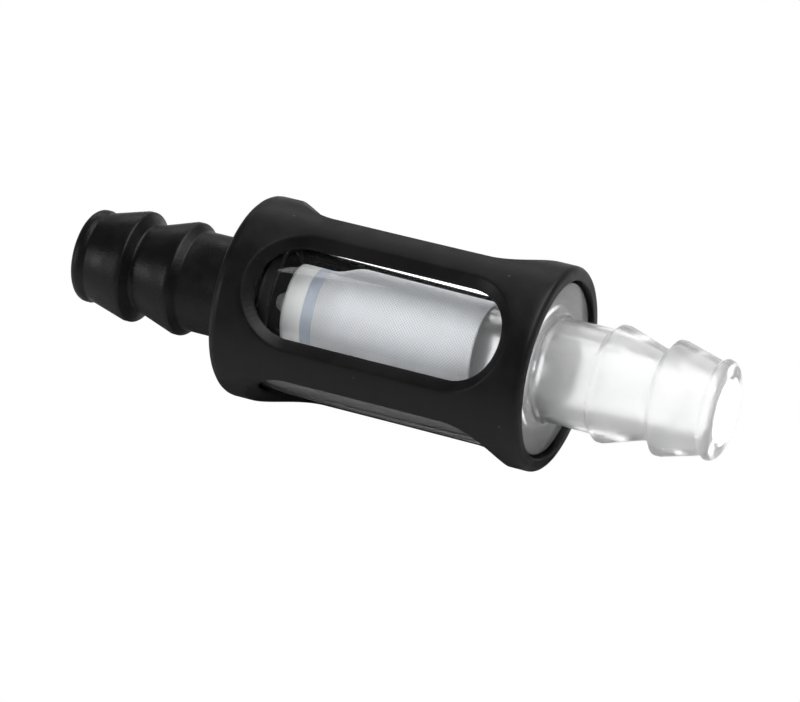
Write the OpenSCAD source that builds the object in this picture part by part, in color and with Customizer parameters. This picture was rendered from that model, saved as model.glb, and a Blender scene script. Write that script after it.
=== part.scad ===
// In-line fuel filter for small engines.
// A clear bowl with a screen inside sits in a black guard, with a barbed hose nipple at each end.
// Fuel flows along +X. The origin is the middle of the filter, on the flow axis.

/* [Guard] */
// Outer diameter of the guard
guard_d = 18; // [15:0.5:24]
// Length of the guard
guard_len = 29.2; // [24:0.2:40]
// Wall of the guard
guard_wall = 1.2; // [1:0.05:1.5]
// Thickness of the guard's end wall, on the inlet side
guard_end = 1; // [0.8:0.05:1.4]
// Rounding of the guard's edge on the inlet side
inlet_edge_round = 0.9; // [0.3:0.1:1]
// Rounding of the guard's rim on the outlet side
rim_round = 0.55; // [0.2:0.05:0.7]

/* [Windows] */
// Number of windows round the guard
window_count = 4; // [3:1:5]
// Width of a post between two windows, at the guard's surface
post_w = 3.1; // [2.4:0.1:4]
// Band between the guard's inlet end and a window
inlet_band = 2.6; // [2:0.1:4]
// Band between a window and the guard's outlet end
outlet_band = 2.2; // [1.9:0.1:4]
// Width of the bevel along the sides of a window
side_bevel = 1.15; // [0.6:0.05:1.3]
// Width of the bevel at the ends of a window
end_bevel = 0.85; // [0.6:0.05:1.1]

/* [Inlet nipple] */
// Diameter of its stem, next to the guard
inlet_stem_d = 9; // [8.4:0.1:9.6]
// Length of its stem, from the guard to the crest of the inner barb
inlet_stem_len = 5.9; // [4:0.1:8]
// Diameter of its inner barb
inlet_inner_barb_d = 10.2; // [9.6:0.1:12]
// Diameter of its outer barb
inlet_outer_barb_d = 10; // [9.6:0.1:12]
// Length of the neck between its barbs
inlet_neck_len = 0.35; // [0.1:0.05:2]
// Diameter of its tip
inlet_tip_d = 8.4; // [8.2:0.1:9]
// Length of its tip
inlet_tip_len = 1.4; // [1.2:0.1:3]

/* [Outlet nipple] */
// Diameter of its stem, next to the bowl
outlet_stem_d = 9.1; // [8.4:0.1:9.6]
// Length of its stem, from the guard's rim to the crest of the inner barb
outlet_stem_len = 4.8; // [3:0.1:8]
// Diameter of its inner barb
outlet_inner_barb_d = 10.2; // [9.6:0.1:12]
// Diameter of its outer barb
outlet_outer_barb_d = 10; // [9.6:0.1:12]
// Length of the neck between its barbs
outlet_neck_len = 0.65; // [0.1:0.05:2]
// Diameter of its tip
outlet_tip_d = 8.7; // [8.2:0.1:9]
// Length of its tip
outlet_tip_len = 1.2; // [1.2:0.1:3]

/* [Both nipples] */
// Diameter of the flow bore
bore_d = 5.5; // [4.5:0.1:6.6]
// Diameter of the neck between the barbs
neck_d = 8; // [7.6:0.1:8.4]
// Diameter just behind the tip
waist_d = 8.1; // [7.6:0.1:8.4]
// Rounding of the tip
tip_round = 0.7; // [0.3:0.1:0.8]
// Length of a barb's cone
cone_len = 3.45; // [2.8:0.05:4.2]
// Length of the flat on a barb's crest
crest_land = 0.5; // [0.4:0.05:0.8]
// Length of the steep back of a barb
barb_back = 0.6; // [0.4:0.05:0.8]

/* [Bowl] */
// Wall of the bowl
bowl_wall = 1.95; // [1.2:0.05:2.1]
// Thickness of the bowl's end wall
bowl_end = 1.5; // [1.2:0.05:2]
// Distance that the bowl's end sits below the guard's rim
bowl_recess = 0.45; // [0.3:0.05:0.8]
// Fillet inside the bowl, at its end wall
bowl_fillet = 0.7; // [0.3:0.1:0.9]
// Wall of the boss that the screen seats on
boss_wall = 0.75; // [0.6:0.05:0.95]
// Length of the boss inside the bowl
boss_len = 5.9; // [5:0.1:8]

/* [Inlet spigot] */
// Thickness of the flange between the guard and the bowl
flange_t = 1; // [0.8:0.05:1.4]
// Bevel at the spigot's front
spigot_bevel = 0.7; // [0.4:0.05:0.85]
// Wall of the spigot behind the groove
groove_back = 0.75; // [0.6:0.05:1]
// Width of the groove for the O-ring
groove_w = 1.1; // [0.9:0.05:1.4]
// Length of the land on each side of the groove
groove_land = 0.25; // [0.2:0.05:0.5]
// Height of the O-ring as squeezed in its groove
seal_h = 0.8; // [0.6:0.05:0.9]

/* [Screen] */
// Diameter of the screen's closed end
cap_d = 7.1; // [5.8:0.1:8]
// Length of the closed end's side
cap_len = 2; // [1.6:0.1:2.8]
// Rounding of the closed end
cap_round = 0.5; // [0.3:0.1:1.2]
// Length of the nub on the closed end
nub_len = 1.4; // [1:0.1:2]
// Diameter of the nub's base
nub_d = 2.8; // [2:0.1:3.6]
// Wall of the collar at the open end
collar_wall = 0.6; // [0.5:0.05:0.75]
// Length of the collar
collar_len = 1.5; // [1:0.1:2]
// Thickness of the sleeve's cloth
cloth_t = 0.2; // [0.15:0.05:0.25]
// Length of the sleeve's taper, next to the closed end
taper_len = 3; // [2:0.1:4]
// Length of the hoop that shows beside the closed end
end_hoop_len = 1; // [0.8:0.05:1.4]
// Number of ribs in the screen's frame
rib_count = 6; // [4:1:8]
// Width of a rib, and of a hoop between the ribs
rib_w = 0.6; // [0.4:0.05:0.8]
// Depth of a rib
rib_depth = 0.6; // [0.4:0.05:0.75]
// Number of hoops between the ends of the frame
hoop_count = 3; // [2:1:5]

/* [Fits] */
// Gap round the bowl and the flange in the guard
guard_gap = 0.06; // [0.02:0.01:0.1]
// Gap round the spigot in the bowl
spigot_gap = 0.05; // [0.02:0.01:0.1]
// Gap round the inlet stem in the guard's end wall
stem_gap = 0.1; // [0.05:0.05:0.2]
// Gap between the bowl's mouth and the flange
mouth_gap = 0.1; // [0.05:0.05:0.2]
// Gap at the screen's own seats
seat_gap = 0.02; // [0.01:0.01:0.03]
// Distance from the nub's tip to the flange's inner face
nub_gap = 1.65; // [0.5:0.05:2]

/* [Hidden] */
$fn = 96;
over = 1;               // how far a cut runs past the solid
outline_steps = 48;     // points round a window

// overall
inlet_len = nipple_len(inlet_stem_len, inlet_neck_len, inlet_tip_len);
outlet_len = nipple_len(outlet_stem_len, outlet_neck_len, outlet_tip_len);
filter_len = inlet_len + guard_len + outlet_len;

// guard
guard_r = guard_d / 2;
guard_x = inlet_len - filter_len / 2;
rim_x = guard_x + guard_len;
guard_bore_r = guard_r - guard_wall;
rim_bevel = 0.2;
stem_hole_r = inlet_stem_d / 2 + stem_gap;

// windows
window_pitch = 360 / window_count;
window_half_angle = window_pitch / 2 - asin(post_w / 2 / guard_r);
window_half_w = guard_r * sin(window_half_angle);
window_half_len = (guard_len - inlet_band - outlet_band) / 2;
window_x = guard_x + inlet_band + window_half_len;
window_floor = guard_r / 2;
bevel_depth = 0.9;

// both nipples
bore_r = bore_d / 2;
neck_r = neck_d / 2;
waist_r = waist_d / 2;
bead_rise = 0.4;        // length over which the waist widens to the tip
mouth_bevel = 0.35;

// bowl
bowl_r = guard_bore_r - guard_gap;
bowl_in_r = bowl_r - bowl_wall;
bowl_face = rim_x - bowl_recess;
bowl_floor = bowl_face - bowl_end;
bowl_edge_round = 0.3;
root_fillet = 0.5;
boss_r = bore_r + boss_wall;
boss_x = bowl_floor - boss_len;

// inlet fitting
flange_x = guard_x + guard_end;
spigot_x = flange_x + flange_t;
spigot_r = bowl_in_r - spigot_gap;
groove_r = bowl_in_r - seal_h;
groove_x = spigot_x + groove_land;
spigot_front = groove_x + groove_w + groove_land + spigot_bevel;
spigot_hollow_r = groove_r - groove_back;
bowl_x = spigot_x + mouth_gap;

// screen
cap_r = cap_d / 2;
nub_x = spigot_x + nub_gap;
nub_tip_r = 0.5;
cap_x = nub_x + nub_len;
hoop_x = cap_x + cap_len;
sleeve_x = hoop_x + end_hoop_len;
taper_x = sleeve_x + taper_len;
collar_r = boss_r + seat_gap + collar_wall;
collar_x = boss_x;
collar_end = collar_x + collar_len;
sleeve_in_r = collar_r + seat_gap;
sleeve_r = sleeve_in_r + cloth_t;
rib_in_r = collar_r - rib_depth;
taper_start_r = cap_r - cloth_t - seat_gap;
plug_r = taper_start_r - rib_depth + cloth_t;

// Turns an outline of radius against place along X into a solid round X.
module turned() {
    rotate([0, 90, 0]) rotate_extrude() children();
}

// What a rounding of radius r takes from an outer corner at the origin.
module corner(r) {
    translate([-r, -r]) difference() {
        square(r + over);
        circle(r);
    }
}

// What a fillet of radius r adds in an inner corner at the origin.
module fillet(r) {
    difference() {
        translate([-r, -r]) square(r * 2);
        translate([r, r]) circle(r);
        translate([r, -r - over]) square(r + over * 2);
        translate([-r - over, r]) square(r * 2 + over * 2);
    }
}

// How far a nipple's outer crest and its tip are from the guard.
function outer_crest(stem_len, neck_len) = stem_len + crest_land + cone_len + neck_len + barb_back;
function nipple_len(stem_len, neck_len, tip_len) =
    outer_crest(stem_len, neck_len) + crest_land + cone_len + tip_len;

// Outline of a hose nipple with two barbs, as radius against distance from the guard.
// It starts at -root, inside the piece that it grows from.
module nipple(root, stem_d, stem_len, inner_d, outer_d, neck_len, tip_d, tip_len) {
    outer_x = outer_crest(stem_len, neck_len);
    tip_x = outer_x + crest_land + cone_len;
    end_x = tip_x + tip_len;
    difference() {
        polygon([
            [0, -root],
            [stem_d / 2, -root],
            [stem_d / 2, stem_len - barb_back],
            [inner_d / 2, stem_len],
            [inner_d / 2, stem_len + crest_land],
            [neck_r, stem_len + crest_land + cone_len],
            [neck_r, outer_x - barb_back],
            [outer_d / 2, outer_x],
            [outer_d / 2, outer_x + crest_land],
            [waist_r, tip_x],
            [tip_d / 2, tip_x + bead_rise],
            [tip_d / 2, end_x],
            [0, end_x]
        ]);
        translate([tip_d / 2, end_x]) corner(tip_round);
    }
}

// Outline of the flow bore, with a bevelled mouth at the far end.
module flow_bore(from, len) {
    polygon([
        [0, from], [bore_r, from], [bore_r, len - mouth_bevel],
        [bore_r + mouth_bevel + over, len + over], [0, len + over]
    ]);
}

// Points of a slot with round ends, seen from outside.
function slot(half_len, half_w) = [
    for (i = [0 : outline_steps - 1])
        let (a = 360 * (i + 0.5) / outline_steps)
        [sign(cos(a)) * (half_len - half_w) + half_w * cos(a), half_w * sin(a)]
];

// Lays outline points on a cylinder of radius r round X.
function wrapped(points, r) = [for (p = points) [p.x, p.y, sqrt(r * r - p.y * p.y)]];

// The space of one window: straight sides, and a bevel that follows the guard's round surface.
module window_cut() {
    n = outline_steps;
    reach = 2.4;        // the bevel is carried on past the surface by this much
    inside = slot(window_half_len - end_bevel, window_half_w - side_bevel);
    outside = slot(window_half_len, window_half_w);
    low = [for (p = inside) [p.x, p.y, window_floor]];
    edge = wrapped(inside, guard_r - bevel_depth);
    lip = wrapped(outside, guard_r);
    top = [for (i = [0 : n - 1]) edge[i] + (lip[i] - edge[i]) * reach];
    crown = [0, 0, guard_r + bevel_depth * reach];
    sides = [
        for (k = [0, n], i = [0 : n - 1])
            let (j = (i + 1) % n)
            each [[k + i, k + n + i, k + n + j], [k + i, k + n + j, k + j]]
    ];
    cap = [for (i = [0 : n - 1]) [3 * n, 2 * n + (i + 1) % n, 2 * n + i]];
    polyhedron(concat(low, edge, top, [crown]), concat([[for (i = [0 : n - 1]) i]], sides, cap));
}

module guard_cage() {
    color([0.13, 0.12, 0.13]) difference() {
        turned() difference() {
            translate([stem_hole_r, guard_x]) square([guard_r - stem_hole_r, guard_len]);
            translate([0, flange_x]) square([guard_bore_r, guard_len]);
            translate([guard_r, rim_x]) corner(rim_round);
            translate([guard_r, guard_x]) mirror([0, 1]) corner(inlet_edge_round);
            polygon([
                [guard_bore_r - over, rim_x + over],
                [guard_bore_r - over, rim_x - rim_bevel - over],
                [guard_bore_r, rim_x - rim_bevel],
                [guard_bore_r + rim_bevel + over, rim_x + over]
            ]);
        }
        for (i = [0 : window_count - 1])
            translate([window_x, 0, 0]) rotate([(i + 0.5) * window_pitch, 0, 0]) window_cut();
    }
}

module inlet_fitting() {
    color([0.11, 0.11, 0.12]) turned() difference() {
        union() {
            translate([0, guard_x]) mirror([0, 1]) nipple(
                guard_end, inlet_stem_d, inlet_stem_len, inlet_inner_barb_d,
                inlet_outer_barb_d, inlet_neck_len, inlet_tip_d, inlet_tip_len
            );
            translate([0, flange_x]) square([bowl_r, flange_t]);
            polygon([
                [0, spigot_x], [spigot_r, spigot_x],
                [spigot_r, spigot_front - spigot_bevel],
                [spigot_r - spigot_bevel, spigot_front], [0, spigot_front]
            ]);
        }
        translate([groove_r, groove_x]) square([seal_h, groove_w]);
        translate([0, guard_x]) mirror([0, 1])
            flow_bore(-guard_end - over, inlet_len);
        polygon([
            [0, flange_x], [bore_r, flange_x], [spigot_hollow_r, spigot_x],
            [spigot_hollow_r, spigot_front + over], [0, spigot_front + over]
        ]);
    }
}

module bowl() {
    color([0.86, 0.9, 0.92, 0.35]) turned() difference() {
        union() {
            translate([bowl_in_r, bowl_x]) square([bowl_wall, bowl_face - bowl_x]);
            translate([0, bowl_floor]) square([bowl_r, bowl_end]);
            translate([bowl_in_r, bowl_floor]) rotate(180) fillet(bowl_fillet);
            translate([0, boss_x]) square([boss_r, boss_len + bowl_end / 2]);
            translate([0, collar_end]) square([collar_r, bowl_floor - collar_end + bowl_end / 2]);
            translate([outlet_stem_d / 2, bowl_face]) fillet(root_fillet);
            translate([0, rim_x]) nipple(
                bowl_recess + bowl_end / 2, outlet_stem_d, outlet_stem_len, outlet_inner_barb_d,
                outlet_outer_barb_d, outlet_neck_len, outlet_tip_d, outlet_tip_len
            );
        }
        translate([bowl_r, bowl_face]) corner(bowl_edge_round);
        translate([0, rim_x]) flow_bore(boss_x - rim_x - over, outlet_len);
    }
}

// The O-ring, drawn at the height that its groove squeezes it to.
module bowl_seal() {
    color([0.1, 0.1, 0.1]) turned()
        translate([groove_r + seal_h / 2, groove_x + groove_w / 2])
            circle((seal_h - seat_gap) / 2);
}

module screen_end_cap() {
    color([0.9, 0.92, 0.93]) turned() difference() {
        polygon([
            [0, nub_x], [nub_tip_r, nub_x], [nub_d / 2, cap_x],
            [cap_r, cap_x], [cap_r, hoop_x],
            [plug_r - seat_gap, hoop_x], [plug_r - seat_gap, sleeve_x - seat_gap],
            [0, sleeve_x - seat_gap]
        ]);
        translate([cap_r, cap_x]) mirror([0, 1]) corner(cap_round);
    }
}

module frame_hoop(x, width, in_r, out_r) {
    turned() translate([in_r, x]) square([out_r - in_r, width]);
}

module screen_frame() {
    hoop_pitch = (collar_x - rib_w - taper_x) / (hoop_count - 1);
    rib_start = sleeve_x - end_hoop_len / 2;
    color([0.72, 0.78, 0.83]) {
        frame_hoop(hoop_x, end_hoop_len, plug_r, cap_r);
        for (i = [0 : hoop_count - 1])
            frame_hoop(taper_x + i * hoop_pitch, rib_w, rib_in_r, collar_r);
        for (i = [0 : rib_count - 1])
            rotate([i * 360 / rib_count, 0, 0]) rotate([90, 0, 0])
                linear_extrude(rib_w, center = true) polygon([
                    [rib_start, plug_r], [rib_start, taper_start_r],
                    [sleeve_x, taper_start_r], [taper_x, collar_r - seat_gap],
                    [collar_x, collar_r - seat_gap], [collar_x, rib_in_r],
                    [taper_x, rib_in_r], [sleeve_x, plug_r]
                ]);
    }
}

// The woven sleeve, drawn as a closed skin of the cloth's thickness.
module screen_mesh() {
    color([0.93, 0.95, 0.96]) turned() polygon([
        [cap_r - cloth_t, sleeve_x], [cap_r, sleeve_x],
        [sleeve_r, taper_x], [sleeve_r, collar_end],
        [sleeve_in_r, collar_end], [sleeve_in_r, taper_x]
    ]);
}

module outlet_collar() {
    color([0.88, 0.9, 0.92]) turned()
        translate([boss_r + seat_gap, collar_x]) square([collar_wall, collar_len]);
}

guard_cage();
inlet_fitting();
bowl();
bowl_seal();
screen_end_cap();
screen_frame();
screen_mesh();
outlet_collar();
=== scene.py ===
"""Looks of an in-line fuel filter: moulded black guard and inlet, clear bowl, woven screen."""

import math

import bmesh
import bpy
from mathutils import Matrix, Vector


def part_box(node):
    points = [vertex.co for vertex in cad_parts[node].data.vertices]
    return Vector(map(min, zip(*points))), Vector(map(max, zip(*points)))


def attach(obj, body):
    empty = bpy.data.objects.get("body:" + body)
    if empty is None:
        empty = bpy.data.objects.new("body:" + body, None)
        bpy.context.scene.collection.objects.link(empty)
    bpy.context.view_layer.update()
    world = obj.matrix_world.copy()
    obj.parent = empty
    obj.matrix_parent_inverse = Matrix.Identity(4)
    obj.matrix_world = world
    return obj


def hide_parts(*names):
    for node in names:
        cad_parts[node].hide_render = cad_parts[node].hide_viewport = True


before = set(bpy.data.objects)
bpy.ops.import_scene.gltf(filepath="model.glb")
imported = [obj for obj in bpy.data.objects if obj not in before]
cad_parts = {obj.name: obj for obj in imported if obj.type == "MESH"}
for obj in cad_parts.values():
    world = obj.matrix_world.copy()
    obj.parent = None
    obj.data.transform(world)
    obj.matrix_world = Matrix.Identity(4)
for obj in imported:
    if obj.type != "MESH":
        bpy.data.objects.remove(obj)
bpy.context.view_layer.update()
bpy.ops.object.select_all(action="DESELECT")

# ---------------------------------------------------------------------------
# Sizes, in metres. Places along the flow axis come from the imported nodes.
# ---------------------------------------------------------------------------

MM = 0.001
WELD = 0.001 * MM           # vertices nearer than this are one
TURN_STEPS = 128            # points round a turned piece
ROUND_STEPS = 5             # segments of the roundings on the guard's ends
SEAL_STEPS = 24             # points round the O-ring's section

guard_lo, guard_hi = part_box("guard_cage")
inlet_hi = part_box("inlet_fitting")[1]
bowl_lo, bowl_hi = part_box("bowl")
seal_lo, seal_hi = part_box("bowl_seal")
cap_lo, cap_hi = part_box("screen_end_cap")
frame_lo, frame_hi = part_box("screen_frame")
sleeve_lo, sleeve_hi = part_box("screen_mesh")
collar_lo, collar_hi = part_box("outlet_collar")

# Guard
GUARD_R = guard_hi.z
GUARD_WALL = 1.2 * MM
GUARD_END = 1.0 * MM
STEM_HOLE_R = 4.6 * MM
INLET_EDGE_ROUND = 0.9 * MM
RIM_ROUND = 0.55 * MM
POST_W = 3.1 * MM
INLET_BAND = 2.6 * MM
OUTLET_BAND = 2.2 * MM
SIDE_BEVEL = 1.15 * MM
END_BEVEL = 0.85 * MM
BEVEL_DEPTH = 0.9 * MM
WINDOWS = 4

# Both nipples
BORE_R = 2.75 * MM
MOUTH_BEVEL = 0.35 * MM
NECK_R = 4.0 * MM
WAIST_R = 4.05 * MM
TIP_ROUND = 0.7 * MM
CONE_LEN = 3.45 * MM
CREST_LAND = 0.5 * MM
BARB_BACK = 0.6 * MM
BEAD_RISE = 0.4 * MM
INNER_BARB_R = 5.1 * MM
OUTER_BARB_R = 5.0 * MM

# Inlet nipple
INLET_STEM_R = 4.5 * MM
INLET_STEM_LEN = 5.9 * MM
INLET_NECK_LEN = 0.35 * MM
INLET_TIP_R = 4.2 * MM
INLET_TIP_LEN = 1.4 * MM

# Outlet nipple
OUTLET_STEM_R = 4.55 * MM
OUTLET_STEM_LEN = 4.8 * MM
OUTLET_NECK_LEN = 0.65 * MM
OUTLET_TIP_R = 4.35 * MM
OUTLET_TIP_LEN = 1.2 * MM

# Bowl
BOWL_WALL = 1.95 * MM
BOWL_END = 1.5 * MM
BOWL_RECESS = 0.45 * MM
BOWL_FILLET = 0.7 * MM
BOWL_EDGE_ROUND = 0.3 * MM
ROOT_FILLET = 0.5 * MM
FACE_MARGIN = 0.01 * MM     # the frosting starts this far before the bowl's face
BOSS_R = 3.5 * MM
BOSS_LEN = 5.9 * MM

# Inlet spigot
SPIGOT_GAP = 0.05 * MM
SPIGOT_BEVEL = 0.7 * MM
SEAL_H = 0.8 * MM
GROOVE_W = 1.1 * MM
GROOVE_LAND = 0.25 * MM
GROOVE_BACK = 0.75 * MM
FLANGE_T = 1.0 * MM

# Screen
CAP_R = cap_hi.z
CAP_ROUND = 0.5 * MM
NUB_LEN = 1.4 * MM
NUB_R = 1.4 * MM
NUB_TIP_R = 0.5 * MM
CLOTH = 0.2 * MM
TAPER_LEN = 3.0 * MM
END_HOOP_LEN = 1.0 * MM
RIB_W = 0.6 * MM
RIB_DEPTH = 0.6 * MM
RIBS = 6
HOOPS = 3
SEAT_GAP = 0.02 * MM

# Roundings of the sharp edges
GUARD_SOFT = 0.14 * MM
FITTING_SOFT = 0.13 * MM
BOWL_SOFT = 0.12 * MM
CAP_SOFT = 0.12 * MM
COLLAR_SOFT = 0.08 * MM

bowl_r = bowl_hi.z
bowl_in_r = bowl_r - BOWL_WALL
bowl_face = guard_hi.x - BOWL_RECESS
bowl_floor = bowl_face - BOWL_END
spigot_r = bowl_in_r - SPIGOT_GAP
groove_r = bowl_in_r - SEAL_H
flange_x = guard_lo.x + GUARD_END
spigot_x = flange_x + FLANGE_T
groove_x = spigot_x + GROOVE_LAND
sleeve_r = sleeve_hi.z
sleeve_in_r = sleeve_r - CLOTH
collar_r = collar_hi.z


# ---------------------------------------------------------------------------
# Modelling helpers
# ---------------------------------------------------------------------------

def begin(name):
    """Names the primitive that was just added and opens it in edit mode, all selected."""
    piece = bpy.context.object
    piece.name = name
    piece.data.name = name
    bpy.ops.object.transform_apply(location=True, rotation=True, scale=True)
    bpy.ops.object.mode_set(mode="EDIT")
    bpy.ops.mesh.select_mode(type="VERT")
    bpy.ops.mesh.select_all(action="SELECT")
    return piece


def pick(piece, kind, test):
    """Selects just the vertices, edges or faces that pass the test, in edit mode."""
    bpy.ops.mesh.select_all(action="DESELECT")
    bpy.ops.mesh.select_mode(type={"verts": "VERT", "edges": "EDGE", "faces": "FACE"}[kind])
    shape = bmesh.from_edit_mesh(piece.data)
    for item in getattr(shape, kind):
        item.select_set(bool(test(item)))
    shape.select_flush_mode()
    bmesh.update_edit_mesh(piece.data)


def weld(inside_out=False):
    """Merges doubles all over and points every face outwards, in edit mode."""
    bpy.ops.mesh.select_mode(type="VERT")
    bpy.ops.mesh.select_all(action="SELECT")
    bpy.ops.mesh.remove_doubles(threshold=WELD)
    bpy.ops.mesh.normals_make_consistent(inside=inside_out)


def modify(piece, kind, **settings):
    """Adds a modifier with these settings and applies it."""
    bpy.ops.object.mode_set(mode="OBJECT")
    bpy.context.view_layer.objects.active = piece
    piece.select_set(True)
    modifier = piece.modifiers.new(kind.lower(), kind)
    for key, value in settings.items():
        setattr(modifier, key, value)
    bpy.ops.object.modifier_apply(modifier=modifier.name)


def soften(piece, width, segments=3):
    """Rounds every edge that turns by more than 28 degrees."""
    modify(piece, "BEVEL", width=width, segments=segments, limit_method="ANGLE",
           angle_limit=math.radians(28))


def finish(piece, angle=32):
    """Leaves edit mode with smooth shading, sharp only past the given angle."""
    bpy.ops.object.mode_set(mode="OBJECT")
    bpy.context.view_layer.objects.active = piece
    piece.select_set(True)
    bpy.ops.object.shade_smooth_by_angle(angle=math.radians(angle))
    bpy.ops.object.select_all(action="DESELECT")
    return piece


def arc(x, r, radius, start, end, steps=6):
    """Stations (x, r) on an arc, with angles in degrees from +X towards outwards."""
    turns = [math.radians(start + (end - start) * i / steps) for i in range(steps + 1)]
    return [(x + radius * math.cos(t), r + radius * math.sin(t)) for t in turns]


def turned(name, stations, closed=True, steps=TURN_STEPS):
    """A ring carried from station to station of (x, r) round the flow axis."""
    x, r = stations[0]
    bpy.ops.mesh.primitive_circle_add(
        vertices=steps, radius=r, location=(x, 0, 0), rotation=(0, math.pi / 2, 0)
    )
    piece = begin(name)
    if not closed:
        bpy.ops.mesh.edge_face_add()
        pick(piece, "edges", lambda e: True)
    path = stations + stations[:1] if closed else stations
    for (x0, r0), (x1, r1) in zip(path, path[1:]):
        bpy.ops.mesh.extrude_region_move(TRANSFORM_OT_translate={"value": (x1 - x0, 0, 0)})
        bpy.ops.transform.resize(value=(1, r1 / r0, r1 / r0), center_override=(x1, 0, 0))
    if not closed:
        bpy.ops.mesh.edge_face_add()
    weld()
    return piece


def nipple(rim_x, way, stem_r, stem_len, neck_len, tip_r, tip_len):
    """Stations of a nipple's outside, from its stem to its mouth, way +1 along +X or -1."""
    outer = stem_len + CREST_LAND + CONE_LEN + neck_len + BARB_BACK
    waist = outer + CREST_LAND + CONE_LEN
    end = waist + tip_len
    stations = [
        (stem_len - BARB_BACK, stem_r),
        (stem_len, INNER_BARB_R),
        (stem_len + CREST_LAND, INNER_BARB_R),
        (stem_len + CREST_LAND + CONE_LEN, NECK_R),
        (outer - BARB_BACK, NECK_R),
        (outer, OUTER_BARB_R),
        (outer + CREST_LAND, OUTER_BARB_R),
        (waist, WAIST_R),
        (waist + BEAD_RISE, tip_r),
        *arc(end - TIP_ROUND, tip_r - TIP_ROUND, TIP_ROUND, 90, 0),
        (end, BORE_R + MOUTH_BEVEL),
        (end - MOUTH_BEVEL, BORE_R),
    ]
    return [(rim_x + way * u, r) for u, r in stations]


# ---------------------------------------------------------------------------
# Pieces
# ---------------------------------------------------------------------------

def guard_cage():
    """The guard: one flat panel with a bevelled window, repeated and rolled into a tube."""
    side = 16                                   # border segments on each side of a panel
    panel = 2 * math.pi * GUARD_R / WINDOWS     # its width, round the guard
    middle_x = (guard_lo.x + guard_hi.x) / 2
    lip_angle = math.pi / WINDOWS - math.asin(POST_W / 2 / GUARD_R)
    lip_w = GUARD_R * math.sin(lip_angle)       # half the window, seen square on
    edge_w = lip_w - SIDE_BEVEL
    lip_z = GUARD_R * lip_angle                 # the same, along the round surface
    edge_z = GUARD_R * math.asin(edge_w / (GUARD_R - BEVEL_DEPTH))
    bore_z = GUARD_R * math.asin(edge_w / (GUARD_R - GUARD_WALL))
    half_len = (guard_hi.x - guard_lo.x - INLET_BAND - OUTLET_BAND) / 2
    window_x = guard_lo.x + INLET_BAND + half_len
    run = half_len - lip_w                      # from the middle to a round end's centre
    edge_run = half_len - END_BEVEL - edge_w    # the same, at the bevel's lower edge
    upright = (math.pi / 2, 0, 0)

    bpy.ops.mesh.primitive_grid_add(
        x_subdivisions=side, y_subdivisions=side, size=1, rotation=upright,
        location=(middle_x, 0, 0)
    )
    piece = begin("guard_cage")
    bpy.ops.transform.resize(
        value=(guard_hi.x - guard_lo.x, 1, panel), center_override=(middle_x, 0, 0)
    )
    pick(piece, "faces", lambda f: True)
    bpy.ops.mesh.delete(type="ONLY_FACE")
    inside_x = (guard_lo.x + WELD, guard_hi.x - WELD)
    pick(piece, "verts", lambda v: inside_x[0] < v.co.x < inside_x[1]
         and abs(v.co.z) < panel / 2 - WELD)
    bpy.ops.mesh.delete(type="VERT")
    bpy.ops.mesh.primitive_circle_add(
        vertices=side * 4, radius=lip_w, rotation=upright, location=(window_x, 0, 0)
    )
    near = half_len + WELD

    def in_window(v):
        return abs(v.co.x - window_x) < near and abs(v.co.z) < lip_z + WELD

    for way in (1, -1):
        pick(piece, "verts", lambda v: in_window(v) and way * (v.co.x - window_x) > WELD
             and abs(v.co.x - window_x) < lip_w + WELD)
        bpy.ops.transform.translate(value=(way * run, 0, 0))
    pick(piece, "verts", in_window)
    bpy.ops.transform.resize(value=(1, 1, lip_z / lip_w), center_override=(window_x, 0, 0))
    pick(piece, "edges", lambda e: True)
    bpy.ops.mesh.bridge_edge_loops()
    weld()
    if bmesh.from_edit_mesh(piece.data).faces[:][0].normal.y > 0:
        bpy.ops.mesh.flip_normals()

    modify(piece, "SOLIDIFY", thickness=GUARD_WALL, offset=-1, use_even_offset=False)
    bpy.ops.object.mode_set(mode="EDIT")

    def on_seam(f):
        return abs(f.normal.z) > 0.9 and abs(abs(f.calc_center_median().z) - panel / 2) < WELD

    # The window's wall is drawn in below its lip, which leaves the bevel round it.
    pick(piece, "faces", lambda f: abs(f.normal.y) < 0.5 and all(in_window(v) for v in f.verts))
    bpy.ops.mesh.bisect(plane_co=(0, BEVEL_DEPTH, 0), plane_no=(0, 1, 0), threshold=WELD)
    for depth, z in ((BEVEL_DEPTH, edge_z), (GUARD_WALL, bore_z)):
        for way in (1, -1):
            pick(piece, "verts", lambda v: in_window(v) and abs(v.co.y - depth) < WELD
                 and way * (v.co.x - window_x) > WELD)
            bpy.ops.transform.resize(
                value=(edge_w / lip_w, 1, 1), center_override=(window_x + way * run, 0, 0)
            )
            bpy.ops.transform.translate(value=(way * (edge_run - run), 0, 0))
        pick(piece, "verts", lambda v: in_window(v) and abs(v.co.y - depth) < WELD)
        bpy.ops.transform.resize(value=(1, 1, z / lip_z), center_override=(window_x, 0, 0))

    # The end edges are rounded: cuts run across the outer face, and each is drawn in to its arc.
    pick(piece, "faces", on_seam)
    bpy.ops.mesh.delete(type="FACE")
    for x, way, radius in ((guard_lo.x, 1, INLET_EDGE_ROUND), (guard_hi.x, -1, RIM_ROUND)):
        turns = [math.pi / 2 * i / ROUND_STEPS for i in range(ROUND_STEPS + 1)]
        cuts = [(x + way * radius * (1 - math.cos(t)), radius * (1 - math.sin(t))) for t in turns]
        for cut_x, _ in cuts[1:]:
            pick(piece, "faces", lambda f: f.normal.y < -0.9)
            bpy.ops.mesh.bisect(plane_co=(cut_x, 0, 0), plane_no=(1, 0, 0), threshold=WELD)
        for cut_x, depth in cuts[:-1]:
            pick(piece, "verts", lambda v: abs(v.co.y) < WELD and abs(v.co.x - cut_x) < WELD)
            bpy.ops.transform.translate(value=(0, depth, 0))

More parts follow.
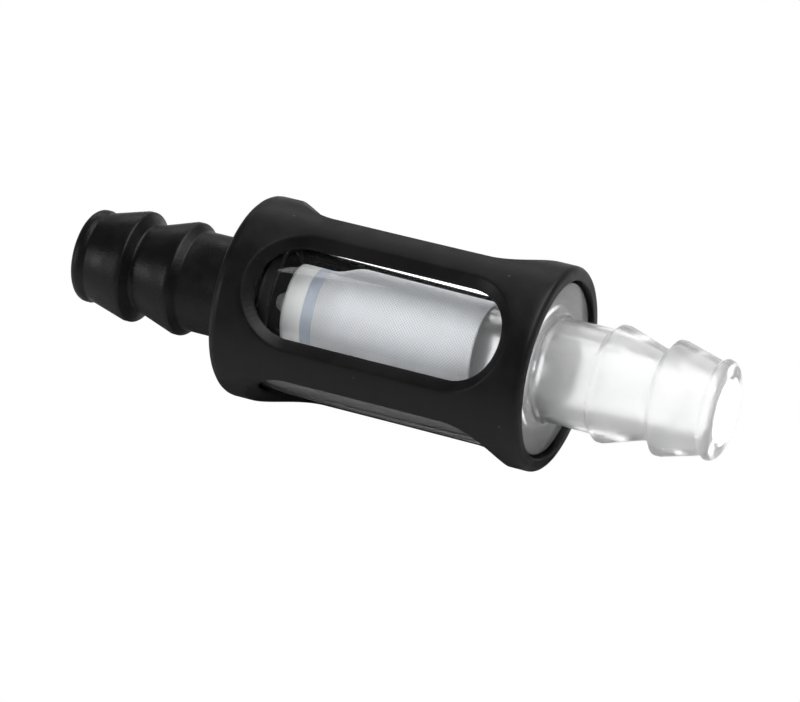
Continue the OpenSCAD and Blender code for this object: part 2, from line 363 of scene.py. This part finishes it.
    # The end wall on the inlet side grows from the inner face.
    bpy.ops.mesh.select_all(action="SELECT")
    bpy.ops.mesh.bisect(plane_co=(flange_x, 0, 0), plane_no=(1, 0, 0), threshold=WELD)
    pick(piece, "faces", lambda f: f.normal.y > 0.9 and f.calc_center_median().x < flange_x)
    bpy.ops.mesh.extrude_region_move(
        TRANSFORM_OT_translate={"value": (0, GUARD_R - GUARD_WALL - STEM_HOLE_R, 0)}
    )
    pick(piece, "faces", on_seam)
    bpy.ops.mesh.delete(type="FACE")
    weld()

    # One spare panel on each side keeps the edge bevels true up to the last seam.
    bpy.ops.transform.translate(value=(0, 0, -panel * (WINDOWS + 1) / 2))
    modify(piece, "ARRAY", count=WINDOWS + 2, use_relative_offset=False,
           use_constant_offset=True, constant_offset_displace=(0, 0, panel),
           use_merge_vertices=True, merge_threshold=WELD)
    modify(piece, "BEVEL", width=GUARD_SOFT, segments=3, limit_method="ANGLE",
           angle_limit=math.radians(30), use_clamp_overlap=True, loop_slide=False)
    bpy.ops.object.mode_set(mode="EDIT")
    for way in (1, -1):
        bpy.ops.mesh.select_all(action="SELECT")
        bpy.ops.mesh.bisect(plane_co=(0, 0, way * panel * WINDOWS / 2), plane_no=(0, 0, way),
                            clear_outer=True, threshold=WELD)
    modify(piece, "SUBSURF", subdivision_type="SIMPLE", levels=2, render_levels=2)
    modify(piece, "SIMPLE_DEFORM", deform_method="BEND", deform_axis="X", angle=2 * math.pi)
    bpy.ops.object.mode_set(mode="EDIT")
    bpy.ops.mesh.select_all(action="SELECT")
    bpy.ops.transform.translate(value=(0, -GUARD_R, 0))
    weld()
    return finish(piece)


def inlet_fitting():
    spigot_front = inlet_hi.x
    hollow_r = groove_r - GROOVE_BACK
    outside = nipple(guard_lo.x, -1, INLET_STEM_R, INLET_STEM_LEN, INLET_NECK_LEN,
                     INLET_TIP_R, INLET_TIP_LEN)
    piece = turned("inlet_fitting", [
        (flange_x, BORE_R),
        (spigot_x, hollow_r),
        (spigot_front, hollow_r),
        (spigot_front, spigot_r - SPIGOT_BEVEL),
        (spigot_front - SPIGOT_BEVEL, spigot_r),
        (groove_x + GROOVE_W, spigot_r),
        (groove_x + GROOVE_W, groove_r),
        (groove_x, groove_r),
        (groove_x, spigot_r),
        (spigot_x, spigot_r),
        (spigot_x, bowl_r),
        (flange_x, bowl_r),
        (flange_x, INLET_STEM_R),
        *outside,
    ])
    soften(piece, FITTING_SOFT)
    return finish(piece)


def bowl():
    outside = nipple(guard_hi.x, 1, OUTLET_STEM_R, OUTLET_STEM_LEN, OUTLET_NECK_LEN,
                     OUTLET_TIP_R, OUTLET_TIP_LEN)
    boss_x = bowl_floor - BOSS_LEN
    piece = turned("bowl", [
        (bowl_lo.x, bowl_in_r),
        (bowl_lo.x, bowl_r),
        *arc(bowl_face - BOWL_EDGE_ROUND, bowl_r - BOWL_EDGE_ROUND, BOWL_EDGE_ROUND, 90, 0, 4),
        *arc(bowl_face + ROOT_FILLET, OUTLET_STEM_R + ROOT_FILLET, ROOT_FILLET, 180, 270),
        *outside,
        (boss_x, BORE_R),
        (boss_x, BOSS_R),
        (collar_hi.x, BOSS_R),
        (collar_hi.x, collar_r),
        (bowl_floor, collar_r),
        *arc(bowl_floor - BOWL_FILLET, bowl_in_r - BOWL_FILLET, BOWL_FILLET, 0, 90),
    ])
    soften(piece, BOWL_SOFT)
    piece.data.materials.append(clear_nylon)
    piece.data.materials.append(frosted_nylon)
    bpy.ops.object.mode_set(mode="EDIT")
    pick(piece, "faces", lambda f: f.calc_center_median().x > bowl_face - FACE_MARGIN)
    piece.active_material_index = 1
    bpy.ops.object.material_slot_assign()
    return finish(piece)


def bowl_seal():
    middle = (seal_lo.x + seal_hi.x) / 2
    section = (seal_hi.x - seal_lo.x) / 2
    ring = arc(middle, seal_hi.z - section, section, 0, 360 - 360 / SEAL_STEPS, SEAL_STEPS - 1)
    return finish(turned("bowl_seal", ring), 60)


def screen_end_cap():
    cap_x = cap_lo.x + NUB_LEN
    hoop_x = sleeve_lo.x - END_HOOP_LEN
    plug_r = CAP_R - RIB_DEPTH - SEAT_GAP * 2
    piece = turned("screen_end_cap", [
        (cap_lo.x, NUB_TIP_R),
        (cap_x, NUB_R),
        *arc(cap_x + CAP_ROUND, CAP_R - CAP_ROUND, CAP_ROUND, 180, 90),
        (hoop_x, CAP_R),
        (hoop_x, plug_r),
        (cap_hi.x, plug_r),
    ], closed=False)
    soften(piece, CAP_SOFT)
    return finish(piece)


def screen_frame():
    """Hoops and ribs of the screen's frame, one moulding."""
    hoop_x = frame_lo.x
    sleeve_x = sleeve_lo.x
    taper_x = sleeve_x + TAPER_LEN
    rib_end = frame_hi.x
    start_r = CAP_R - CLOTH - SEAT_GAP
    plug_r = CAP_R - RIB_DEPTH - SEAT_GAP
    pitch = (rib_end - RIB_W - taper_x) / (HOOPS - 1)
    parts = [turned("end_hoop", [
        (hoop_x, plug_r), (hoop_x, CAP_R), (sleeve_x, CAP_R), (sleeve_x, plug_r)
    ])]
    bpy.ops.object.mode_set(mode="OBJECT")
    for i in range(HOOPS):
        x = taper_x + i * pitch
        parts.append(turned("hoop", [
            (x, collar_r - RIB_DEPTH), (x, collar_r), (x + RIB_W, collar_r),
            (x + RIB_W, collar_r - RIB_DEPTH)
        ]))
        bpy.ops.object.mode_set(mode="OBJECT")
    ends = {
        sleeve_x - END_HOOP_LEN / 2: (plug_r, start_r),
        sleeve_x: (plug_r, start_r),
        taper_x: (collar_r - RIB_DEPTH, collar_r - SEAT_GAP),
        rib_end: (collar_r - RIB_DEPTH, collar_r - SEAT_GAP),
    }
    places = sorted(ends)
    for i in range(RIBS):
        bpy.ops.mesh.primitive_plane_add(size=1, rotation=(0, math.pi / 2, 0),
                                         location=(places[0], 0, 0))
        rib = begin("rib")
        low, high = ends[places[0]]
        bpy.ops.transform.resize(value=(1, RIB_W, high - low), center_override=(places[0], 0, 0))
        bpy.ops.transform.translate(value=(0, 0, (low + high) / 2))
        for x0, x1 in zip(places, places[1:]):
            (low0, high0), (low1, high1) = ends[x0], ends[x1]
            bpy.ops.mesh.extrude_region_move(TRANSFORM_OT_translate={
                "value": (x1 - x0, 0, (low1 + high1 - low0 - high0) / 2)
            })
            bpy.ops.transform.resize(
                value=(1, 1, (high1 - low1) / (high0 - low0)),
                center_override=(x1, 0, (low1 + high1) / 2)
            )
        weld()
        bpy.ops.mesh.select_all(action="SELECT")
        bpy.ops.object.mode_set(mode="OBJECT")
        rib.rotation_euler.x = 2 * math.pi * i / RIBS
        bpy.ops.object.transform_apply(location=False, rotation=True, scale=False)
        parts.append(rib)
        bpy.ops.object.select_all(action="DESELECT")
    for part in parts:
        part.select_set(True)
    bpy.context.view_layer.objects.active = parts[0]
    bpy.ops.object.join()
    piece = bpy.context.object
    piece.name = "screen_frame"
    piece.data.name = "screen_frame"
    return finish(piece)


def screen_mesh():
    x0, x1 = sleeve_lo.x, sleeve_hi.x
    taper = [(x0 + TAPER_LEN * i / 6,
              CAP_R + (sleeve_r - CAP_R) * (0.5 - 0.5 * math.cos(math.pi * i / 6)))
             for i in range(7)]
    lining = [(x, r - CLOTH) for x, r in reversed(taper)]
    piece = turned("screen_mesh", [*taper, (x1, sleeve_r), (x1, sleeve_in_r), *lining])
    return finish(piece, 60)


def outlet_collar():
    piece = turned("outlet_collar", [
        (collar_lo.x, BOSS_R + SEAT_GAP), (collar_lo.x, collar_r),
        (collar_hi.x, collar_r), (collar_hi.x, BOSS_R + SEAT_GAP)
    ])
    soften(piece, COLLAR_SOFT, segments=2)
    return finish(piece)


# ---------------------------------------------------------------------------
# Effects that the materials share
# ---------------------------------------------------------------------------

def add(tree, kind, **settings):
    """Adds a node and sets its options."""
    made = tree.nodes.new("ShaderNode" + kind)
    for key, value in settings.items():
        setattr(made, key, value)
    return made


def join(tree, value, socket):
    """Feeds a socket from another socket, or sets it to a plain number."""
    if isinstance(value, bpy.types.NodeSocket):
        tree.links.new(value, socket)
    else:
        socket.default_value = value


def maths(tree, operation, *values):
    made = add(tree, "Math", operation=operation)
    for value, socket in zip(values, made.inputs):
        join(tree, value, socket)
    return made.outputs[0]


def spread(tree, value, low, high, to_low=0.0, to_high=1.0):
    """Maps low..high to to_low..to_high, smoothly and held at the ends."""
    made = add(tree, "MapRange", interpolation_type="SMOOTHSTEP")
    for number, socket in zip((value, low, high, to_low, to_high), made.inputs):
        join(tree, number, socket)
    return made.outputs[0]


def blend_colors(tree, factor, first, second):
    made = add(tree, "Mix", data_type="RGBA")
    join(tree, factor, made.inputs["Factor"])
    sockets = [i for i in made.inputs if i.type == "RGBA"]
    join(tree, first, sockets[0])
    join(tree, second, sockets[1])
    return next(o for o in made.outputs if o.type == "RGBA")


def noise(tree, place, size, detail=2.0, roughness=0.5):
    """Noise whose features are about this size; size is a socket or a number."""
    made = add(tree, "TexNoise")
    tree.links.new(place, made.inputs["Vector"])
    join(tree, maths(tree, "DIVIDE", 1.0, size), made.inputs["Scale"])
    made.inputs["Detail"].default_value = detail
    made.inputs["Roughness"].default_value = roughness
    return made.outputs["Fac"]


def new_group(name, inputs, outputs):
    """A shader node group with these named number inputs and outputs."""
    tree = bpy.data.node_groups.new(name, "ShaderNodeTree")
    for socket, value in inputs.items():
        made = tree.interface.new_socket(socket, in_out="INPUT", socket_type="NodeSocketFloat")
        made.default_value = value
    for socket in outputs:
        tree.interface.new_socket(socket, in_out="OUTPUT", socket_type="NodeSocketFloat")
    given = tree.nodes.new("NodeGroupInput").outputs
    result = tree.nodes.new("NodeGroupOutput").inputs
    place = add(tree, "TexCoord").outputs["Object"]
    return tree, given, result, place


def moulded_grain():
    """Fine mould texture on top of a slow ripple; Shade is for slow changes of tone."""
    tree, given, result, place = new_group(
        "moulded_grain", {"Grain Size": 0.0002, "Ripple Size": 0.003, "Ripple": 1.0},
        ("Height", "Shade")
    )
    fine = noise(tree, place, given["Grain Size"], detail=3)
    slow = noise(tree, place, given["Ripple Size"], detail=2)
    height = maths(tree, "MULTIPLY_ADD", slow, given["Ripple"], fine)
    tree.links.new(height, result["Height"])
    tree.links.new(spread(tree, slow, 0.3, 0.7), result["Shade"])
    return tree


def edge_wear_and_highlight():
    """A mask of edges, broken up, for the paler line along them: partly rubbed wear, partly a
    painted highlight on the edge roundings.
    """
    tree, given, result, place = new_group(
        "edge_wear_and_highlight", {"Width": 0.0002, "Patch Size": 0.0015}, ("Wear And Highlight",)
    )
    rounded = add(tree, "Bevel", samples=4)
    tree.links.new(given["Width"], rounded.inputs["Radius"])
    surface = add(tree, "NewGeometry")
    dot = add(tree, "VectorMath", operation="DOT_PRODUCT")
    tree.links.new(rounded.outputs["Normal"], dot.inputs[0])
    tree.links.new(surface.outputs["Normal"], dot.inputs[1])
    # Edges count where the rounded normal turns away from the face; the pale line there is partly
    # wear and partly painted highlight.
    edge = spread(tree, dot.outputs["Value"], 0.995, 0.93)
    patches = spread(tree, noise(tree, place, given["Patch Size"], detail=4), 0.4, 0.65)
    tree.links.new(maths(tree, "MULTIPLY", edge, patches), result["Wear And Highlight"])
    return tree


def dust():
    """Sparse small specks, stronger on what faces up."""
    tree, given, result, place = new_group(
        "dust", {"Speck Size": 0.0006, "Share": 0.06}, ("Specks",)
    )
    cells = add(tree, "TexVoronoi", feature="F1")
    tree.links.new(place, cells.inputs["Vector"])
    join(tree, maths(tree, "DIVIDE", 1.0, given["Speck Size"]), cells.inputs["Scale"])
    pick_one = add(tree, "SeparateColor")
    tree.links.new(cells.outputs["Color"], pick_one.inputs[0])
    chosen = maths(tree, "LESS_THAN", pick_one.outputs[0], given["Share"])
    spot = spread(tree, cells.outputs["Distance"], 0.22, 0.05)
    facing = add(tree, "SeparateXYZ")
    tree.links.new(add(tree, "NewGeometry").outputs["Normal"], facing.inputs[0])
    upward = spread(tree, facing.outputs["Z"], -0.6, 0.9, 0.25, 1.0)
    specks = maths(tree, "MULTIPLY", maths(tree, "MULTIPLY", chosen, spot), upward)
    tree.links.new(specks, result["Specks"])
    return tree


def weave():
    """Threads laid crosswise at 45 degrees on a sleeve round the flow axis."""
    tree, given, result, place = new_group(
        "weave", {"Threads Round": 96.0, "Pitch": 0.00028}, ("Height", "Threads")
    )
    axes = add(tree, "SeparateXYZ")
    tree.links.new(place, axes.inputs[0])
    turn = maths(tree, "ARCTAN2", axes.outputs["Y"], axes.outputs["Z"])
    share = maths(tree, "DIVIDE", turn, math.tau)
    round_place = maths(tree, "MULTIPLY", share, given["Threads Round"])
    along_place = maths(tree, "DIVIDE", axes.outputs["X"], given["Pitch"])
    waves = []
    for operation in ("ADD", "SUBTRACT"):
        place_across = maths(tree, operation, round_place, along_place)
        waves.append(maths(tree, "SINE", maths(tree, "MULTIPLY", place_across, math.pi)))
    first, second = (maths(tree, "ABSOLUTE", wave) for wave in waves)
    over = maths(tree, "MULTIPLY_ADD", maths(tree, "MULTIPLY", *waves), 0.3, 0.7)
    under = maths(tree, "SUBTRACT", 1.4, over)
    height = maths(tree, "MAXIMUM", maths(tree, "MULTIPLY", first, over),
                   maths(tree, "MULTIPLY", second, under))
    tree.links.new(height, result["Height"])
    widest = maths(tree, "MAXIMUM", first, second)
    tree.links.new(spread(tree, widest, 0.35, 0.6), result["Threads"])
    return tree


GRAIN = moulded_grain()
WEAR_AND_HIGHLIGHT = edge_wear_and_highlight()
DUST = dust()
WEAVE = weave()


# ---------------------------------------------------------------------------
# Materials
# ---------------------------------------------------------------------------

def new_material(name, **sockets):
    """A material with these plain values on its Principled shader; returns it and its parts."""
    made = bpy.data.materials.new(name)
    made.use_nodes = True
    tree = made.node_tree
    shader = tree.nodes["Principled BSDF"]
    for key, value in sockets.items():
        shader.inputs[key.replace("_", " ").replace("Ior", "IOR")].default_value = value
    return made, tree, shader


def use(tree, effect, **values):
    """Places a shared effect in a material with its own values."""
    made = tree.nodes.new("ShaderNodeGroup")
    made.node_tree = effect
    for key, value in values.items():
        made.inputs[key.replace("_", " ")].default_value = value
    return made.outputs


def raise_surface(tree, shader, height, distance, strength=1.0):
    bump = add(tree, "Bump")
    tree.links.new(height, bump.inputs["Height"])
    bump.inputs["Distance"].default_value = distance
    bump.inputs["Strength"].default_value = strength
    tree.links.new(bump.outputs["Normal"], shader.inputs["Normal"])


def black_nylon(name, color, rubbed_and_highlight, roughness, ripple, distance):
    """Black moulded nylon, a little paler under its dust and along its edges; the pale edge line
    is partly rubbed wear and partly a painted highlight.
    """
    made, tree, shader = new_material(name, Specular_Ior_Level=0.3)
    grain = use(tree, GRAIN, Grain_Size=0.22 * MM, Ripple_Size=2.2 * MM, Ripple=ripple)
    worn_and_highlit = use(tree, WEAR_AND_HIGHLIGHT, Width=0.22 * MM, Patch_Size=1.6 * MM)["Wear And Highlight"]
    specks = use(tree, DUST, Speck_Size=0.9 * MM, Share=0.05)["Specks"]
    tone = blend_colors(tree, grain["Shade"], (*color, 1), (*[c * 1.5 for c in color], 1))
    # Paler line along the edges: partly rubbed wear, partly a painted highlight on the edge
    # roundings.
    tone = blend_colors(tree, maths(tree, "MULTIPLY", worn_and_highlit, 0.8), tone, (*rubbed_and_highlight, 1))
    tone = blend_colors(tree, maths(tree, "MULTIPLY", specks, 0.5), tone, (0.16, 0.15, 0.14, 1))
    tree.links.new(tone, shader.inputs["Base Color"])
    low, high = roughness
    gloss = spread(tree, grain["Shade"], 0, 1, low, high)
    tree.links.new(maths(tree, "ADD", gloss, maths(tree, "MULTIPLY", specks, 0.3)),
                   shader.inputs["Roughness"])
    raise_surface(tree, shader, grain["Height"], distance)
    return made


def clear(name, color, roughness, distance, **sockets):
    """Clear moulded nylon, with slow flow ripples and a faint uneven haze."""
    made, tree, shader = new_material(name, Ior=1.5, **sockets)
    grain = use(tree, GRAIN, Grain_Size=0.9 * MM, Ripple_Size=3.2 * MM, Ripple=2.0)
    low, high = roughness
    tree.links.new(spread(tree, grain["Shade"], 0, 1, low, high), shader.inputs["Roughness"])
    tree.links.new(
        blend_colors(tree, grain["Shade"], (*color, 1), (*[c * 0.985 for c in color], 1)),
        shader.inputs["Base Color"]
    )
    raise_surface(tree, shader, grain["Height"], distance)
    return made


def pale_plastic(name, color, deep, roughness, **sockets):
    """Natural moulded plastic, with slow changes of tone."""
    made, tree, shader = new_material(name, **sockets)
    grain = use(tree, GRAIN, Grain_Size=0.18 * MM, Ripple_Size=1.4 * MM, Ripple=1.0)
    tree.links.new(blend_colors(tree, grain["Shade"], (*color, 1), (*deep, 1)),
                   shader.inputs["Base Color"])
    low, high = roughness
    tree.links.new(spread(tree, grain["Shade"], 0, 1, low, high), shader.inputs["Roughness"])
    raise_surface(tree, shader, grain["Height"], 0.006 * MM)
    return made


def rubber():
    made, tree, shader = new_material("seal_rubber", Specular_Ior_Level=0.3)
    grain = use(tree, GRAIN, Grain_Size=0.12 * MM, Ripple_Size=1.0 * MM, Ripple=0.5)
    tree.links.new(
        blend_colors(tree, grain["Shade"], (0.012, 0.012, 0.013, 1), (0.022, 0.022, 0.023, 1)),
        shader.inputs["Base Color"]
    )
    tree.links.new(spread(tree, grain["Shade"], 0, 1, 0.5, 0.65), shader.inputs["Roughness"])
    raise_surface(tree, shader, grain["Height"], 0.012 * MM)
    return made


def woven_screen():
    """Fine woven nylon: pale threads with painted shade where the weave sinks, and open holes
    between them.
    """
    made, tree, shader = new_material(
        "screen_cloth", Transmission_Weight=0.4, Ior=1.15, Roughness=0.6
    )
    threads = use(tree, WEAVE, Threads_Round=96.0, Pitch=0.28 * MM)
    grain = use(tree, GRAIN, Grain_Size=0.4 * MM, Ripple_Size=2.0 * MM, Ripple=1.0)
    # Painted shade: the cloth is darker where the threads dip under each other.
    tone = blend_colors(tree, threads["Height"], (0.84, 0.86, 0.9, 1), (0.98, 0.98, 0.99, 1))
    tone = blend_colors(tree, maths(tree, "MULTIPLY", grain["Shade"], 0.25), tone,
                        (0.86, 0.89, 0.95, 1))
    tree.links.new(tone, shader.inputs["Base Color"])
    tree.links.new(spread(tree, threads["Threads"], 0, 1, 0.7, 1.0), shader.inputs["Alpha"])
    raise_surface(tree, shader, threads["Height"], 0.05 * MM)
    return made


# The second colour of each black nylon is its pale edge line: partly rubbed wear, partly painted
# highlight.
guard_nylon = black_nylon("guard_nylon", (0.0052, 0.0044, 0.0052), (0.05, 0.047, 0.05),
                          (0.4, 0.48), 1.2, 0.012 * MM)
fitting_nylon = black_nylon("fitting_nylon", (0.0048, 0.0043, 0.0046), (0.035, 0.033, 0.034),
                            (0.34, 0.46), 2.5, 0.02 * MM)
clear_nylon = clear("clear_nylon", (0.985, 0.99, 0.99), (0.01, 0.03), 0.0006 * MM,
                    Transmission_Weight=1.0)
frosted_nylon = clear("frosted_nylon", (0.975, 0.975, 0.98), (0.15, 0.25), 0.0008 * MM,
                      Transmission_Weight=0.72)
white_plastic = pale_plastic("white_plastic", (0.9, 0.91, 0.9), (0.84, 0.86, 0.87), (0.35, 0.45),
                             Transmission_Weight=0.25)
frame_plastic = pale_plastic("frame_plastic", (0.6, 0.66, 0.76), (0.54, 0.6, 0.7), (0.35, 0.45),
                             Transmission_Weight=0.25)
seal_rubber = rubber()
screen_cloth = woven_screen()

# ---------------------------------------------------------------------------
# Camera, light and floor
# ---------------------------------------------------------------------------

TILT = math.radians(20.93)          # the outlet end leans towards the camera
TURN = math.radians(14.04)          # the flow axis falls to the right in the view
LIFT = math.radians(37.5)           # the camera looks down on the filter's side
DISTANCE = 321.8 * MM
LENS = 167.66
SENSOR = 36.0
ASIDE, BELOW = 0.276 * MM, -1.668 * MM  # where the guard's middle lies in the view

side_on = Vector((0, -math.cos(LIFT), math.sin(LIFT)))
across = Vector((0, math.sin(LIFT), math.cos(LIFT)))
back = Vector((1, 0, 0)) * math.sin(TILT) + side_on * math.cos(TILT)
along = Vector((1, 0, 0)) * math.cos(TILT) - side_on * math.sin(TILT)
right = along * math.cos(TURN) + across * math.sin(TURN)
up = across * math.cos(TURN) - along * math.sin(TURN)

camera_data = bpy.data.cameras.new("camera")
camera_data.lens = LENS
camera_data.sensor_width = SENSOR
camera_data.clip_start = 0.02
camera = bpy.data.objects.new("camera", camera_data)
bpy.context.scene.collection.objects.link(camera)
guard_middle = Vector(((guard_lo.x + guard_hi.x) / 2, 0, 0))
eye = guard_middle + back * DISTANCE - right * ASIDE + up * BELOW
camera.matrix_world = (
    Matrix.Translation(eye) @ Matrix((right, up, back)).transposed().to_4x4()
)
bpy.context.scene.camera = camera
bpy.context.scene.view_settings.view_transform = "Standard"


def softbox(name, place, size, power, aim=(0, 0, 0)):
    light = bpy.data.lights.new(name, "AREA")
    light.shape = "RECTANGLE"
    light.size, light.size_y = size
    light.energy = power
    lamp = bpy.data.objects.new(name, light)
    lamp.location = place
    lamp.rotation_euler = (Vector(place) - Vector(aim)).to_track_quat("Z", "Y").to_euler()
    bpy.context.scene.collection.objects.link(lamp)
    return lamp


softbox("top_softbox", (0.2, 0.1, 0.5), (0.6, 0.5), 2.9)
softbox("back_softbox", (-0.2, 0.6, 0.3), (0.6, 0.2), 0.5)
softbox("left_softbox", (-0.45, -0.34, 0.16), (0.16, 0.24), 0.5)

SURROUND = 0.1              # how bright the room is as a light on the filter's outside
BEHIND_CLEAR = 2.2          # how bright the surround is through the clear plastic
FLOOR_SIZE = 3

world = bpy.data.worlds.new("studio")
world.use_nodes = True
bpy.context.scene.world = world


def white_behind(tree, lit, output):
    """White to the eye, brighter still through clear plastic, and the lit shader to other rays."""
    path = add(tree, "LightPath").outputs
    unreflected = maths(tree, "LESS_THAN", path["Glossy Depth"], 0.5)
    through = maths(tree, "MULTIPLY", path["Is Transmission Ray"], unreflected)
    seen = add(tree, "Emission")
    join(tree, maths(tree, "MULTIPLY_ADD", through, BEHIND_CLEAR - 1, 1.0),
         seen.inputs["Strength"])
    mix = add(tree, "MixShader")
    join(tree, maths(tree, "MAXIMUM", path["Is Camera Ray"], through), mix.inputs["Fac"])
    tree.links.new(lit.outputs[0], mix.inputs[1])
    tree.links.new(seen.outputs[0], mix.inputs[2])
    tree.links.new(mix.outputs[0], output.inputs["Surface"])


background = world.node_tree.nodes["Background"]
background.inputs["Color"].default_value = (1, 1, 1, 1)
background.inputs["Strength"].default_value = SURROUND
white_behind(world.node_tree, background, world.node_tree.nodes["World Output"])

bpy.ops.mesh.primitive_plane_add(size=FLOOR_SIZE, location=(0, 0, guard_lo.z))
floor = bpy.context.object
floor.name = "floor"
floor_white, floor_tree, floor_shader = new_material(
    "floor_white", Base_Color=(0.8, 0.8, 0.8, 1), Roughness=0.9
)
white_behind(floor_tree, floor_shader, floor_tree.nodes["Material Output"])
floor.data.materials.append(floor_white)
bpy.ops.object.select_all(action="DESELECT")

# ---------------------------------------------------------------------------
# Assembly
# ---------------------------------------------------------------------------

for make, material, slot in (
    (guard_cage, guard_nylon, "guard_nylon"),
    (inlet_fitting, fitting_nylon, "fitting_nylon"),
    (bowl, clear_nylon, "clear_nylon"),
    (bowl_seal, seal_rubber, "seal_rubber"),
    (screen_end_cap, white_plastic, "white_plastic"),
    (screen_frame, frame_plastic, "frame_plastic"),
    (screen_mesh, screen_cloth, "screen_cloth"),
    (outlet_collar, white_plastic, "white_plastic"),
):
    piece = make()
    if not piece.data.materials:
        piece.data.materials.append(material)
    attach(piece, "root")
    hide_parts(make.__name__)
